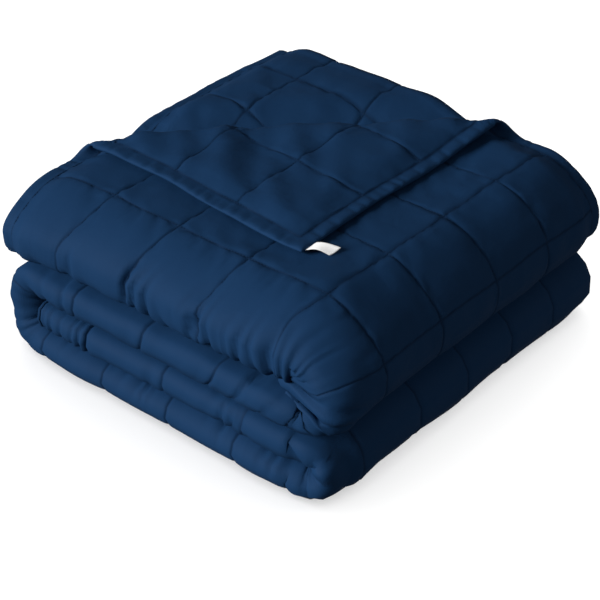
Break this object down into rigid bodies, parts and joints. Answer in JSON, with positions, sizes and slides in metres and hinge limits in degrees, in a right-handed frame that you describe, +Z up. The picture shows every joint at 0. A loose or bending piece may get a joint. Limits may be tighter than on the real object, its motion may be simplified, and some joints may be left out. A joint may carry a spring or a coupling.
{
  "type": "weighted blanket",
  "caption": "Filled blanket quilted in squares, folded in thirds and wound into a neat pile, with one corner turned back over the top.",
  "frame": {"origin": "centre of the folded blanket's footprint, on the surface it rests on", "axes": "+Z up, +X towards the free long edges, away from the rounded side fold, +Y towards the end where the outer short hem shows"},
  "size_m": [0.5212, 0.5099, 0.2345],
  "materials": {
    "navy_cover": "smooth brushed microfibre with a soft sheen",
    "white_label": "plain woven satin tape"
  },
  "bodies": {
    "root": {"blanket": "navy_cover", "care_label": "white_label"}
  },
  "joints": []
}
